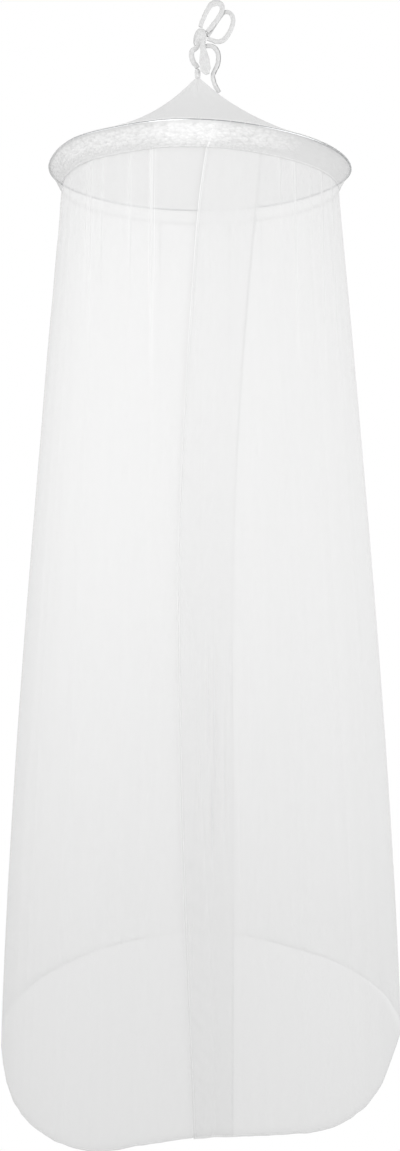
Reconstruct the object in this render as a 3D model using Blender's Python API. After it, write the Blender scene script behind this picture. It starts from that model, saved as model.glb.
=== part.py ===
"""Mosquito net canopy on a hoop.

A round net that hangs over a bed from one tie.  The tie is a soft tape knotted into a bow: its tall
loop goes over the hook, and its two legs hold the tip of a small cone-shaped crown.  The crown is
stretched over a thin hoop, a ruched band hides the seam under the hoop, and one long net panel is
wrapped round below the band so that its two hemmed front edges lap over each other.

Metres, +Z up, and -Y is the front with the overlap.  The origin is the point where the hook bears
inside the top of the hanging loop.
"""
import math

import bmesh
import bpy
from mathutils import Vector

# ---------------------------------------------------------------- driving dimensions (metres, degrees)
NET_AXIS_X = -0.035        # the hoop's axis stands a little to the left of the hook, as the bow leans
HOOP_Z = -0.361            # height of the hoop's plane
HOOP_RADIUS = 0.325        # to the middle of the rod: a 65 cm hoop
HOOP_ROD_RADIUS = 0.0023
HOOP_SIDES = 48
HOOP_ROD_SIDES = 8

CLOTH_THICKNESS = 0.0015
CLOTH_CLEARANCE = 0.0020   # cloth stays this far from the rod
PIECE_GAP = 0.0004         # between pieces that touch

CROWN_HEIGHT = 0.202       # from the hoop's plane to the bound tip
CROWN_TIP_RADIUS = 0.0056
CROWN_TIP_LEAN = -0.0053   # the tip is pulled towards the left leg of the tie
CROWN_HOLLOW_SHARE = 0.4   # share of the profile that sags inwards between tip and hoop
CROWN_HOLLOW_POWER = 2.4
CROWN_SIDES = 48
CROWN_RINGS = 6
CROWN_RING_POWER = 1.4     # above 1, the rings stand closer together near the tip

BINDING_HEIGHT = 0.0205    # the wrap that grips the crown's tip
BINDING_RADIUS = 0.0054
BINDING_RIDGE = 0.0006     # the wrap's two turns stand out by this much
BINDING_SIDES = 16

BAND_DEPTH = 0.0375        # ruched band, from under the hoop to the net's seam
BAND_LOWER_RADIUS = 0.3035
BAND_SIDES = 72
BAND_RINGS = 3
BAND_RUFFLE = 0.0012       # how far its puckers stand in and out
BAND_SMOOTH_FROM = 30      # to the right of this azimuth the band is drawn smooth

DROP_TOP = 0.036           # the net panel starts this far below the hoop, tucked behind the band
DROP_LENGTH = 1.8085       # from there to the hem's usual level
DROP_TOP_RADIUS = 0.2978
DROP_HEM_RADIUS = 0.4265
DROP_FLARE_POWER = 1.30    # above 1, the net flares early and then hangs nearly straight
DROP_COLUMNS = 108
DROP_ROWS = 11
DROP_ROW_POWER = 1.3       # above 1, the rows stand closer together near the seam
LAP_GAP_TOP = 0.0040       # between the two layers of the overlap, at the seam
LAP_GAP_HEM = 0.0100       # and at the hem
RIPPLE = 0.0035            # slow waves round the net, fullest at the hem

TAPE_DEPTH = 0.0044        # the limp tape, folded along its length, is this thick
TAPE_SIDES = 8
TAPE_STEP = 0.0055         # distance between the sections of a strand

# The springy hoop is not quite flat: it dips at the front right.
# columns: azimuth, height above the hoop's plane
HOOP_WARP = (
    (-95, -0.0030),
    (-74, -0.0035),
    (-52, 0.0020),
    (-32, -0.0005),
    (-10, 0.0005),
    (5, -0.0020),
    (30, -0.0080),
    (60, -0.0100),
    (80, -0.0090),
    (110, -0.0020),
    (150, 0.0000),
    (220, 0.0000),
    (265, -0.0030),
)

# Where the two front edges of the panel run.  Azimuth 0 faces the front, positive to the right.
# columns: share of the drop, azimuth of the outer edge, azimuth of the inner edge
FRONT_EDGES = (
    (0.00, 2.5, 24.0),
    (0.06, -0.3, 21.0),
    (0.15, -2.5, 17.0),
    (0.27, -4.7, 13.0),
    (0.44, -6.2, 9.8),
    (0.65, -5.2, 9.0),
    (1.00, -1.5, 8.0),
)

# How much lower than its usual level the hem hangs.
# columns: azimuth, extra length in metres
HEM_DIPS = (
    (-90, 0.000),
    (-68, 0.040),
    (-50, 0.067),
    (-28, 0.056),
    (-12, 0.015),
    (0, -0.003),
    (18, 0.006),
    (36, 0.028),
    (54, 0.016),
    (72, -0.024),
    (92, -0.014),
    (140, 0.006),
    (180, -0.004),
    (225, 0.008),
    (270, 0.000),
)

# The main folds, as ridges that run down from the band and fade out.
# columns: azimuth, height of the ridge in metres, half width in degrees, share of the drop it reaches
FOLDS = (
    (-61, 0.0030, 4.0, 0.30),
    (-43, 0.0036, 4.0, 0.45),
    (-25, 0.0030, 4.0, 0.25),
    (-17, 0.0042, 4.0, 0.40),
    (36, 0.0040, 5.0, 0.35),
    (53, 0.0028, 4.0, 0.30),
    (64, 0.0032, 4.0, 0.40),
    (104, 0.0040, 5.0, 0.45),
    (139, 0.0036, 5.0, 0.30),
    (171, 0.0042, 5.0, 0.50),
    (206, 0.0034, 4.0, 0.35),
    (242, 0.0040, 5.0, 0.40),
)

# The slow waves round the net.  columns: waves in a turn, share of RIPPLE, phase in degrees
WAVES = (
    (5, 0.45, 20),
    (8, 0.35, 130),
    (13, 0.30, 245),
)

# The strands of the tie, each a short list of hand-placed points.
# columns, in millimetres from the hook point: right, back, up, width of the strand
HANGING_LOOP = (
    (-34.0, -1.5, -46.8, 8.6),
    (-32.4, -2.0, -40.5, 8.6),
    (-27.3, -2.5, -27.9, 9.0),
    (-18.6, -2.5, -9.6, 9.6),
    (-10.6, -1.5, 2.2, 11.5),
    (1.2, -0.5, 6.7, 13.0),
    (11.4, -1.5, 2.2, 11.0),
    (13.6, -3.0, -7.0, 10.0),
    (10.8, -3.5, -18.0, 9.6),
    (1.3, -3.5, -32.5, 9.4),
    (-8.7, -3.0, -45.4, 9.0),
    (-15.2, -2.4, -53.2, 8.6),
    (-19.4, -1.8, -58.0, 8.4),
)
BOW_LOOP = (
    (-19.0, 3.4, -64.4, 7.6),
    (-13.0, 4.4, -56.0, 7.8),
    (-4.2, 5.0, -41.0, 8.0),
    (7.6, 5.0, -23.4, 8.2),
    (16.8, 4.0, -13.0, 8.0),
    (27.0, 2.5, -13.0, 8.4),
    (34.2, 2.0, -19.4, 8.8),
    (37.2, 2.0, -29.5, 9.2),
    (35.4, 2.0, -41.5, 9.0),
    (30.3, 2.5, -54.3, 9.2),
    (22.2, 3.0, -67.6, 9.6),
    (12.0, 3.5, -75.2, 9.6),
    (0.6, 4.0, -76.2, 9.4),
    (-9.2, 3.5, -73.4, 8.6),
    (-18.6, 3.0, -70.4, 7.8),
)
LEG_LEFT = (
    (-42.8, -1.5, -94.0, 9.0),
    (-51.4, -2.0, -97.6, 10.4),
    (-53.6, -2.0, -106.0, 11.0),
    (-52.2, -2.0, -116.6, 11.0),
    (-48.0, -1.5, -126.0, 10.4),
    (-43.2, -0.8, -130.6, 9.8),
    (-40.8, 0.0, -135.6, 9.2),
)
LEG_RIGHT = (
    (-23.6, 0.5, -87.6, 7.6),
    (-12.4, 0.5, -87.0, 8.8),
    (-3.0, 0.5, -91.2, 9.6),
    (3.3, 0.5, -100.6, 10.0),
    (5.4, 0.5, -112.0, 10.0),
    (4.2, 0.5, -125.8, 9.8),
    (-1.4, 0.5, -138.8, 9.4),
    (-6.2, 0.5, -150.0, 9.2),
    (-5.6, 0.5, -161.8, 9.2),
    (-0.4, 0.5, -176.4, 9.2),
    (6.8, 0.5, -188.0, 8.6),
)
TAIL = (
    (-30.6, -10.6, -80.0, 8.6),
    (-29.6, -10.4, -90.0, 10.0),
    (-27.6, -10.4, -103.0, 14.0),
    (-26.0, -10.5, -113.0, 18.0),
    (-24.9, -11.0, -126.0, 23.0),
    (-23.4, -11.0, -137.5, 25.0),
    (-21.0, -10.5, -146.5, 17.0),
    (-17.6, -9.5, -152.6, 6.0),
)
# The knot is the tape's own turns drawn tight.
# columns, in millimetres: right, back, up, width, depth
KNOT = (
    (-33.0, 0.0, -50.8, 12.0, 8.0),
    (-33.2, 0.0, -55.5, 23.0, 13.0),
    (-34.4, 0.0, -66.0, 28.0, 15.5),
    (-35.8, 0.0, -77.0, 28.4, 15.0),
    (-36.8, 0.0, -84.5, 25.0, 12.5),
    (-37.2, 0.0, -88.6, 14.0, 8.0),
)

MM = 0.001


# ---------------------------------------------------------------- small helpers
def clear_scene():
    for thing in list(bpy.data.objects):
        bpy.data.objects.remove(thing, do_unlink=True)


def principled(name, colour, roughness, metallic=0.0):
    """A plain material: colour is a grey level or three values."""
    finish = bpy.data.materials.new(name)
    finish.use_nodes = True
    shader = finish.node_tree.nodes["Principled BSDF"]
    shader.inputs["Base Color"].default_value = (*colour, 1.0)
    shader.inputs["Roughness"].default_value = roughness
    shader.inputs["Metallic"].default_value = metallic
    finish.diffuse_color = (*colour, 1.0)
    return finish


def add_object(name, mesh, finish):
    thing = bpy.data.objects.new(name, mesh)
    bpy.context.scene.collection.objects.link(thing)
    mesh.materials.append(finish)
    mesh.shade_smooth()
    return thing


def grid_mesh(name, rows, wrap):
    """A sheet of quads through rows of points; wrap joins each row's end to its start."""
    net = bmesh.new()
    lines = [[net.verts.new(point) for point in row] for row in rows]
    columns = len(lines[0])
    steps = columns if wrap else columns - 1
    for upper, lower in zip(lines, lines[1:]):
        for i in range(steps):
            j = (i + 1) % columns
            net.faces.new((upper[i], upper[j], lower[j], lower[i]))
    mesh = bpy.data.meshes.new(name)
    net.to_mesh(mesh)
    net.free()
    return mesh


def thicken(sheet):
    """Gives a sheet the cloth's thickness, half to each side, with its edges closed."""
    solid = sheet.modifiers.new("cloth_thickness", "SOLIDIFY")
    solid.thickness = CLOTH_THICKNESS
    solid.offset = 0.0
    solid.use_even_offset = True


def blend(a, b, share):
    return a + (b - a) * share


def eased(share):
    """0 to 1 with a soft start and end."""
    share = min(max(share, 0.0), 1.0)
    return share * share * (3.0 - 2.0 * share)


def read_table(table, key, column):
    """The value of one column at key, on a smooth curve through a table sorted by its first column."""
    for i, (low, high) in enumerate(zip(table, table[1:])):
        if key <= high[0] or high is table[-1]:
            before = table[max(i - 1, 0)]
            after = table[min(i + 2, len(table) - 1)]
            span = high[0] - low[0]
            share = min(max((key - low[0]) / span, 0.0), 1.0)
            rise_low = (high[column] - before[column]) / (high[0] - before[0]) * span
            rise_high = (after[column] - low[column]) / (after[0] - low[0]) * span
            square, cube = share * share, share * share * share
            return (low[column] * (2 * cube - 3 * square + 1) + rise_low * (cube - 2 * square + share)
                    + high[column] * (3 * square - 2 * cube) + rise_high * (cube - square))


def turned(azimuth, start):
    """The same direction as an azimuth from start to start + 360."""
    return (azimuth - start) % 360.0 + start


def hoop_warp(azimuth):
    return read_table(HOOP_WARP, turned(azimuth, HOOP_WARP[0][0]), 1)


def on_net(azimuth, radius, z, shift=0.0):
    """A point round the net's axis."""
    angle = math.radians(azimuth)
    return Vector((NET_AXIS_X + shift + radius * math.sin(angle), -radius * math.cos(angle), z))


def smooth_route(points):
    """A smooth curve through the rows of a strand's table, with a section every TAPE_STEP."""
    rows = [tuple(value * MM for value in row) for row in points]
    route = []
    for i in range(len(rows) - 1):
        before, here, there, after = rows[max(i - 1, 0)], rows[i], rows[i + 1], rows[min(i + 2, len(rows) - 1)]
        reach = (Vector(there[:3]) - Vector(here[:3])).length
        steps = max(1, round(reach / TAPE_STEP))
        for k in range(steps):
            t = k / steps
            route.append(tuple(
                0.5 * (2 * h + (n - b) * t + (2 * b - 5 * h + 4 * n - a) * t * t
                       + (3 * h - b - 3 * n + a) * t * t * t)
                for b, h, n, a in zip(before, here, there, after)
            ))
    route.append(rows[-1])
    return route


def strand_mesh(name, route, depth=None):
    """A closed strand along a route: wide across the front view, thin from front to back.
    Each row of the route holds x, y, z and width, and a fifth value where the depth varies."""
    back = Vector((0.0, 1.0, 0.0))
    places = [Vector(row[:3]) for row in route]
    rows = []
    for i, place in enumerate(places):
        ahead = (places[min(i + 1, len(places) - 1)] - places[max(i - 1, 0)]).normalized()
        across = back.cross(ahead).normalized()
        through = ahead.cross(across)
        half_width = route[i][3] / 2
        half_depth = (depth if depth is not None else route[i][4]) / 2
        ring = []
        for k in range(TAPE_SIDES):
            turn = 2 * math.pi * (k + 0.5) / TAPE_SIDES
            ring.append(place + across * half_width * math.cos(turn) + through * half_depth * math.sin(turn))
        rows.append(ring)
    mesh = grid_mesh(name, rows, wrap=True)
    ends = bmesh.new()
    ends.from_mesh(mesh)
    ends.edges.ensure_lookup_table()
    bmesh.ops.holes_fill(ends, edges=[edge for edge in ends.edges if edge.is_boundary], sides=TAPE_SIDES)
    bmesh.ops.recalc_face_normals(ends, faces=ends.faces)
    ends.to_mesh(mesh)
    ends.free()
    return mesh


# ---------------------------------------------------------------- the tie
def make_tie(finish):
    """The knotted tape: the tall loop over the hook, the round loop beside it, two legs, a tail."""
    strands = {
        "hanging_loop": HANGING_LOOP,
        "bow_loop": BOW_LOOP,
        "tie_leg_left": LEG_LEFT,
        "tie_leg_right": LEG_RIGHT,
        "tie_tail": TAIL,
    }
    for name, table in strands.items():
        add_object(name, strand_mesh(name, smooth_route(table), TAPE_DEPTH), finish)
    knot = [tuple(value * MM for value in row) for row in KNOT]
    add_object("tie_knot", strand_mesh("tie_knot", knot), finish)


# ---------------------------------------------------------------- the crown
def crown_radius(share):
    """Radius of the crown at a share of its height, 0 at the hoop and 1 at the tip."""
    left = 1.0 - share
    sag = CROWN_HOLLOW_SHARE * left ** CROWN_HOLLOW_POWER + (1.0 - CROWN_HOLLOW_SHARE) * left
    return (HOOP_RADIUS - CLOTH_CLEARANCE) * sag + CROWN_TIP_RADIUS * share


def make_crown(finish):
    """The cone of net from the hoop to the tip, sagging a little inwards on its way."""
    foot = HOOP_ROD_RADIUS + CLOTH_CLEARANCE + CLOTH_THICKNESS / 2
    rows = []
    for ring in range(CROWN_RINGS + 1):
        share = 1.0 - (1.0 - ring / CROWN_RINGS) ** CROWN_RING_POWER
        z = HOOP_Z + blend(foot, CROWN_HEIGHT, share)
        lean = CROWN_TIP_LEAN * share * share
        row = []
        for i in range(CROWN_SIDES):
            azimuth = 360.0 * i / CROWN_SIDES
            row.append(on_net(azimuth, crown_radius(share), z + hoop_warp(azimuth) * (1.0 - share) ** 2, lean))
        rows.append(row)
    thicken(add_object("crown_net", grid_mesh("crown_net", rows, wrap=True), finish))


def make_binding(finish):
    """The tight wrap round the crown's tip, in two turns with a groove between them."""
    bottom = HOOP_Z + CROWN_HEIGHT + PIECE_GAP
    # columns: share of the height, extra radius
    turns = ((0.0, -0.4), (0.12, 1.0), (0.38, 1.0), (0.5, -1.0), (0.62, 1.0), (0.88, 1.0), (1.0, -0.4))
    rows = []
    for share, swell in turns:
        z = bottom + BINDING_HEIGHT * share
        radius = BINDING_RADIUS + BINDING_RIDGE * swell
        centre = Vector((NET_AXIS_X + CROWN_TIP_LEAN, 0.0, z))
        rows.append([
            centre + Vector((math.cos(turn), math.sin(turn), 0.0)) * radius
            for turn in (2 * math.pi * i / BINDING_SIDES for i in range(BINDING_SIDES))
        ])
    mesh = grid_mesh("apex_binding", rows, wrap=True)
    wrap = bmesh.new()
    wrap.from_mesh(mesh)
    bmesh.ops.holes_fill(wrap, edges=[edge for edge in wrap.edges if edge.is_boundary], sides=BINDING_SIDES)
    bmesh.ops.recalc_face_normals(wrap, faces=wrap.faces)
    wrap.to_mesh(mesh)
    wrap.free()
    add_object("apex_binding", mesh, finish)


# ---------------------------------------------------------------- the hoop and its band
def make_hoop(finish):
    """The round rod that spreads the net."""
    rows = []
    for i in range(HOOP_SIDES):
        azimuth = 360.0 * i / HOOP_SIDES
        ring = []
        for k in range(HOOP_ROD_SIDES):
            turn = 2 * math.pi * (k + 0.5) / HOOP_ROD_SIDES
            radius = HOOP_RADIUS + HOOP_ROD_RADIUS * math.cos(turn)
            ring.append(on_net(azimuth, radius, HOOP_Z + hoop_warp(azimuth) + HOOP_ROD_RADIUS * math.sin(turn)))
        rows.append(ring)
    rows.append(rows[0])
    mesh = grid_mesh("hoop", rows, wrap=True)
    rod = bmesh.new()
    rod.from_mesh(mesh)
    bmesh.ops.remove_doubles(rod, verts=rod.verts, dist=HOOP_ROD_RADIUS / 100)
    bmesh.ops.recalc_face_normals(rod, faces=rod.faces)
    rod.to_mesh(mesh)
    rod.free()
    add_object("hoop", mesh, finish)


def band_pucker(azimuth, share):
    """How far the ruched band stands out at a place: lively in front and left, calm on the right."""
    around = turned(azimuth, -180.0)
    calm = eased((around - BAND_SMOOTH_FROM + 12.0) / 24.0) * (1.0 - eased((around - 150.0) / 24.0))
    wave = math.sin(math.radians(17 * around + 190 * share)) + 0.6 * math.sin(math.radians(29 * around - 120 * share))
    return BAND_RUFFLE * wave / 1.6 * blend(1.0, 0.15, calm)


def make_band(finish):
    """The ruched strip from under the hoop, drawn in and down to where the net is sewn on."""
    top = HOOP_ROD_RADIUS + CLOTH_CLEARANCE + CLOTH_THICKNESS / 2
    rows = []
    for ring in range(BAND_RINGS + 1):
        share = ring / BAND_RINGS
        radius = blend(HOOP_RADIUS - CLOTH_CLEARANCE, BAND_LOWER_RADIUS, share ** 0.8)
        z = HOOP_Z - top - BAND_DEPTH * share
        row = []
        for i in range(BAND_SIDES):
            azimuth = 360.0 * i / BAND_SIDES
            pucker = band_pucker(azimuth, share) * (1.0 if 0 < ring < BAND_RINGS else 0.4)
            row.append(on_net(azimuth, radius + pucker, z + hoop_warp(azimuth)))
        rows.append(row)
    thicken(add_object("ruched_band", grid_mesh("ruched_band", rows, wrap=True), finish))


# ---------------------------------------------------------------- the long net panel
def drop_radius(share):
    """Radius of the hanging net at a share of its length."""
    return blend(DROP_TOP_RADIUS, DROP_HEM_RADIUS, 1.0 - (1.0 - share) ** DROP_FLARE_POWER)


def fold_relief(azimuth, share):
    """How far the folds and slow waves push the net outwards at a place."""
    relief = 0.0
    for centre, height, half_width, reach in FOLDS:
        away = abs(turned(azimuth - centre, -180.0)) / half_width
        if away < 1.0:
            fade = eased(1.0 - share / reach) if share < reach else 0.0
            relief += height * (1.0 - eased(away)) * fade * eased(share / 0.03)
    for count, part, phase in WAVES:
        relief += RIPPLE * part * math.sin(math.radians(count * azimuth + phase)) * eased(share)
    return relief


def make_drop(finish):
    """One panel wrapped all the way round, from its inner front edge over the back to its outer one."""
    rows = []
    for r in range(DROP_ROWS + 1):
        share = (r / DROP_ROWS) ** DROP_ROW_POWER
        outer_edge = read_table(FRONT_EDGES, share, 1)
        inner_edge = read_table(FRONT_EDGES, share, 2)
        lap_gap = blend(LAP_GAP_TOP, LAP_GAP_HEM, eased(share / 0.1))
        row = []
        for c in range(DROP_COLUMNS + 1):
            round_share = c / DROP_COLUMNS
            azimuth = blend(inner_edge, outer_edge - 360.0, round_share)
            dip = read_table(HEM_DIPS, turned(azimuth, HEM_DIPS[0][0]), 1)
            radius = drop_radius(share) + lap_gap * (round_share - 0.5) + fold_relief(azimuth, share)
            z = HOOP_Z - DROP_TOP - (DROP_LENGTH + dip) * share + hoop_warp(azimuth) * (1.0 - share) ** 4
            row.append(on_net(azimuth, radius, z))
        rows.append(row)
    thicken(add_object("drop_net", grid_mesh("drop_net", rows, wrap=False), finish))


def main():
    clear_scene()
    tape = principled("tape_cotton", (0.86, 0.86, 0.86), 0.9)
    net = principled("net_white", (0.90, 0.90, 0.90), 0.85)
    rod = principled("hoop_gloss_white", (0.92, 0.92, 0.92), 0.15)
    make_tie(tape)
    make_binding(tape)
    make_crown(net)
    make_hoop(rod)
    make_band(net)
    make_drop(net)


main()
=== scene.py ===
# %% [markdown]
# # A mosquito net canopy, from hook to hem
#
# The real thing is a tape tied in a bow, a cone of dense net, a bright wire hoop, a puckered band and one
# long sheer panel that is wrapped round and laps over itself in front.  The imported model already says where
# each of these is and how big it is.  This lesson dresses it: every cloth piece is made again as a thin
# sheet with its folds, hems and stitches, and each gets its own finish.  All lengths are in metres.

# %% Load the frame
import math
import random

import bmesh
import bpy
import numpy as np
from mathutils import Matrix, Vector


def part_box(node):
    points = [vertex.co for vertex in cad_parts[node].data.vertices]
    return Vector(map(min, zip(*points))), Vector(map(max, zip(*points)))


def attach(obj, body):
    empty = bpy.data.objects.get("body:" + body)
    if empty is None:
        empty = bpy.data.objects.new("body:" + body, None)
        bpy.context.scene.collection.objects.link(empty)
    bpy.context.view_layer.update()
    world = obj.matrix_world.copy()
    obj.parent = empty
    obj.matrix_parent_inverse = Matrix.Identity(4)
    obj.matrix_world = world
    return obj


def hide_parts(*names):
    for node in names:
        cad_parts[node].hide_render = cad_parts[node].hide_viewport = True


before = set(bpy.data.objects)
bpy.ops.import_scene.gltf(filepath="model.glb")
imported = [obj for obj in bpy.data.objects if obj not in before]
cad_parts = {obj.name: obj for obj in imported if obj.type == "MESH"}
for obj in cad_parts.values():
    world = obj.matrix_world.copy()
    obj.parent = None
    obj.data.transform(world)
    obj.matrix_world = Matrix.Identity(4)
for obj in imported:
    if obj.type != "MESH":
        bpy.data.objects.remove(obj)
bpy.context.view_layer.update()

print("nodes:", ", ".join(sorted(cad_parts)))

# %% [markdown]
# ## Where things are
#
# The hoop's box gives the net's axis and its radius, and the long panel's box gives the floor its height.
# The hook bears at the origin, inside the tallest loop of the bow.  The height of the hoop's plane is typed
# in, because the springy hoop is warped and its box is taller than the plane.

# %% Measures from the frame
hoop_low, hoop_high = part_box("hoop")
drop_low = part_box("drop_net")[0]
ROD_RADIUS = 0.0023
AXIS_X = (hoop_low.x + hoop_high.x) / 2
HOOP_RADIUS = (hoop_high.x - hoop_low.x) / 2 - ROD_RADIUS
HOOP_Z = -0.361
print(f"axis x {AXIS_X:.4f}, hoop radius {HOOP_RADIUS:.4f}, hoop plane {HOOP_Z:.4f}")

# %% [markdown]
# ## The view
#
# The net is seen from a little over two metres away, with the camera level and well below the hoop, so that
# the near side of the hoop stands higher in the view than its far side.  A level camera keeps upright lines
# upright; the lens is shifted a little, as on a view camera, to take in the hem.

# %% Camera
VIEW_DISTANCE = 2.29
VIEW_BELOW_HOOP = 0.686
LENS_MM = 32.84
LENS_SHIFT = -0.0778

eye = bpy.data.cameras.new("view")
eye.sensor_width = 36.0
eye.lens = LENS_MM
eye.shift_y = LENS_SHIFT
eye_object = bpy.data.objects.new("view", eye)
eye_object.location = (AXIS_X, -VIEW_DISTANCE, HOOP_Z - VIEW_BELOW_HOOP)
eye_object.rotation_euler = (math.radians(90), 0, 0)
bpy.context.scene.collection.objects.link(eye_object)
bpy.context.scene.camera = eye_object
print("camera", tuple(round(value, 3) for value in eye_object.location))

# %% [markdown]
# ## Floor and light
#
# A white net on a white ground shows only by its own soft greys, so the light matters more than anything
# else here.  A soft key lamp stands in front on the left at the height of the upper net, so the cloth is
# brightest there and falls off towards the hem.  Two broad lamps, one at each side, keep the edges light.
# The ground is plain white for the eye in the open, and a pale grey where it is seen through the net, with
# a darker round patch under the net for the shade that it throws.  It gives the cloth only a dim, even
# light, which keeps the inside of the net darker than its front.  All this belongs to the stage: no finish
# of the net itself asks what kind of ray has reached it.

# %% Helpers for node trees
def new_material(name):
    """An empty node material with its output, as (material, tree, output)."""
    finish = bpy.data.materials.new(name)
    finish.use_nodes = True
    tree = finish.node_tree
    tree.nodes.clear()
    return finish, tree, tree.nodes.new("ShaderNodeOutputMaterial")


def node(tree, kind, links=(), **values):
    """Adds a node.  values are its properties, or input sockets by name; links are (socket, output) pairs."""
    made = tree.nodes.new(kind)
    for key, value in values.items():
        if hasattr(made, key):
            setattr(made, key, value)
        else:
            made.inputs[key.replace("_", " ")].default_value = value
    for socket, output in links:
        tree.links.new(output, made.inputs[socket])
    return made


def maths(tree, operation, *terms, clamp=False):
    """A Math node.  Each term is a number or an output socket."""
    made = tree.nodes.new("ShaderNodeMath")
    made.operation = operation
    made.use_clamp = clamp
    for i, term in enumerate(terms):
        if isinstance(term, (int, float)):
            made.inputs[i].default_value = term
        else:
            tree.links.new(term, made.inputs[i])
    return made.outputs[0]


print("helpers ready")

# %% Floor and background
FLOOR_BELOW_HEM = 0.012
FLOOR_SIZE = 14.0
OPEN_WHITE = 1.0             # ground and wall where nothing hangs in front
VEILED_GREY = 0.90           # the same, as it shows through the net
SHADED_GREY = 0.73           # and the floor inside the net, which shades it
SHADE_RADIUS = 0.458         # of that shade
SHADE_THROW = 0.167          # and how far the front lamp throws it backwards
SHADE_EDGE = 0.02            # half the width of its soft edge
FLOOR_PAINT = 0.62           # how pale the floor is for the light that bounces off it
SEEN_IN_OPEN = 0.99          # brightness above which the ground isn't behind the net


def veiled(tree):
    """Brightness of the ground: white in the open, a pale grey behind the net's own veil."""
    ray = node(tree, "ShaderNodeLightPath")
    behind = maths(tree, "GREATER_THAN", ray.outputs["Transparent Depth"], 0.5)
    return ray, maths(tree, "MULTIPLY_ADD", behind, VEILED_GREY - OPEN_WHITE, OPEN_WHITE)


finish, tree, output = new_material("pale_floor")
ray, brightness = veiled(tree)
spot = node(tree, "ShaderNodeTexCoord")
place = node(tree, "ShaderNodeSeparateXYZ", links=[("Vector", spot.outputs["Object"])])
aside, back = place.outputs["X"], place.outputs["Y"]
nearest = maths(tree, "MINIMUM", maths(tree, "MAXIMUM", back, 0.0), SHADE_THROW)
behind = maths(tree, "SUBTRACT", back, nearest)
squares = maths(tree, "ADD", maths(tree, "MULTIPLY", aside, aside), maths(tree, "MULTIPLY", behind, behind))
distance = maths(tree, "SQRT", squares)
inside = node(tree, "ShaderNodeMapRange", interpolation_type="SMOOTHSTEP", From_Min=SHADE_RADIUS - SHADE_EDGE,
              From_Max=SHADE_RADIUS + SHADE_EDGE, To_Min=SHADED_GREY / VEILED_GREY, To_Max=1.0,
              links=[("Value", distance)])
seen_through = maths(tree, "LESS_THAN", brightness, SEEN_IN_OPEN)
shade = maths(tree, "MULTIPLY_ADD", maths(tree, "SUBTRACT", inside.outputs[0], 1.0), seen_through, 1.0)
brightness = maths(tree, "MULTIPLY", brightness, shade)
paint = node(tree, "ShaderNodeBsdfDiffuse", Color=(FLOOR_PAINT, FLOOR_PAINT, FLOOR_PAINT, 1))
glow = node(tree, "ShaderNodeEmission", Color=(1, 1, 1, 1), links=[("Strength", brightness)])
choice = node(tree, "ShaderNodeMixShader")
tree.links.new(ray.outputs["Is Camera Ray"], choice.inputs[0])
tree.links.new(paint.outputs[0], choice.inputs[1])
tree.links.new(glow.outputs[0], choice.inputs[2])
tree.links.new(choice.outputs[0], output.inputs["Surface"])

bpy.ops.mesh.primitive_plane_add(size=FLOOR_SIZE, location=(AXIS_X, 0, drop_low.z - FLOOR_BELOW_HEM))
floor = bpy.context.object
floor.name = "floor"
floor.data.materials.append(finish)
print("floor at", round(floor.location.z, 3))

# %% World and lamps
ROOM_LIGHT = 0.60
scene = bpy.context.scene
scene.view_settings.view_transform = "Standard"
world = bpy.data.worlds.new("studio")
scene.world = world
world.use_nodes = True
tree = world.node_tree
tree.nodes.clear()
ray, brightness = veiled(tree)
backdrop = node(tree, "ShaderNodeBackground", Color=(1, 1, 1, 1), links=[("Strength", brightness)])
room = node(tree, "ShaderNodeBackground", Color=(1, 1, 1, 1), Strength=ROOM_LIGHT)
choice = node(tree, "ShaderNodeMixShader")
tree.links.new(ray.outputs["Is Camera Ray"], choice.inputs[0])
tree.links.new(room.outputs[0], choice.inputs[1])
tree.links.new(backdrop.outputs[0], choice.inputs[2])
world_output = node(tree, "ShaderNodeOutputWorld")
tree.links.new(choice.outputs[0], world_output.inputs["Surface"])

# columns: name, place, aimed at, size across, power in watts
LAMPS = (
    ("key", (-0.95, -2.10, -0.50), (AXIS_X, 0.0, -0.75), 1.2, 18.5),
    ("left", (-1.9, -0.9, -0.70), (AXIS_X, 0.0, -1.00), 2.2, 12.0),
    ("right", (1.9, -0.9, -0.70), (AXIS_X, 0.0, -1.00), 2.2, 25.0),
)


def add_lamp(name, place, target, size, power):
    lamp = bpy.data.lights.new(name, "AREA")
    lamp.shape = "DISK"
    lamp.size = size
    lamp.energy = power
    lamp_object = bpy.data.objects.new(name, lamp)
    lamp_object.location = place
    lamp_object.rotation_euler = (Vector(target) - Vector(place)).to_track_quat("-Z", "Y").to_euler()
    scene.collection.objects.link(lamp_object)


for row in LAMPS:
    add_lamp(*row)
print(len(LAMPS), "lamps")

# %% [markdown]
# ## The net's finish
#
# Mosquito net is a warp-knitted tulle: fine white threads round six-sided holes a little over a millimetre
# across.  The sum of three cosine waves at 120 degrees to each other is high in the middle of such holes and
# low along the threads, so a soft step through it draws the mesh.  The step drives the shader's alpha: threads
# hold light back, holes let it through.  It reads the cloth's own UV map, which is laid out in metres, so
# the mesh follows every fold.  Alpha is only moderate in the threads and never quite nothing in the holes,
# because each thread is a fuzzy bundle of filaments, and the cells are too small to be told apart from afar.

# %% Net material
MESH_CELL = 0.0016


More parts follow.
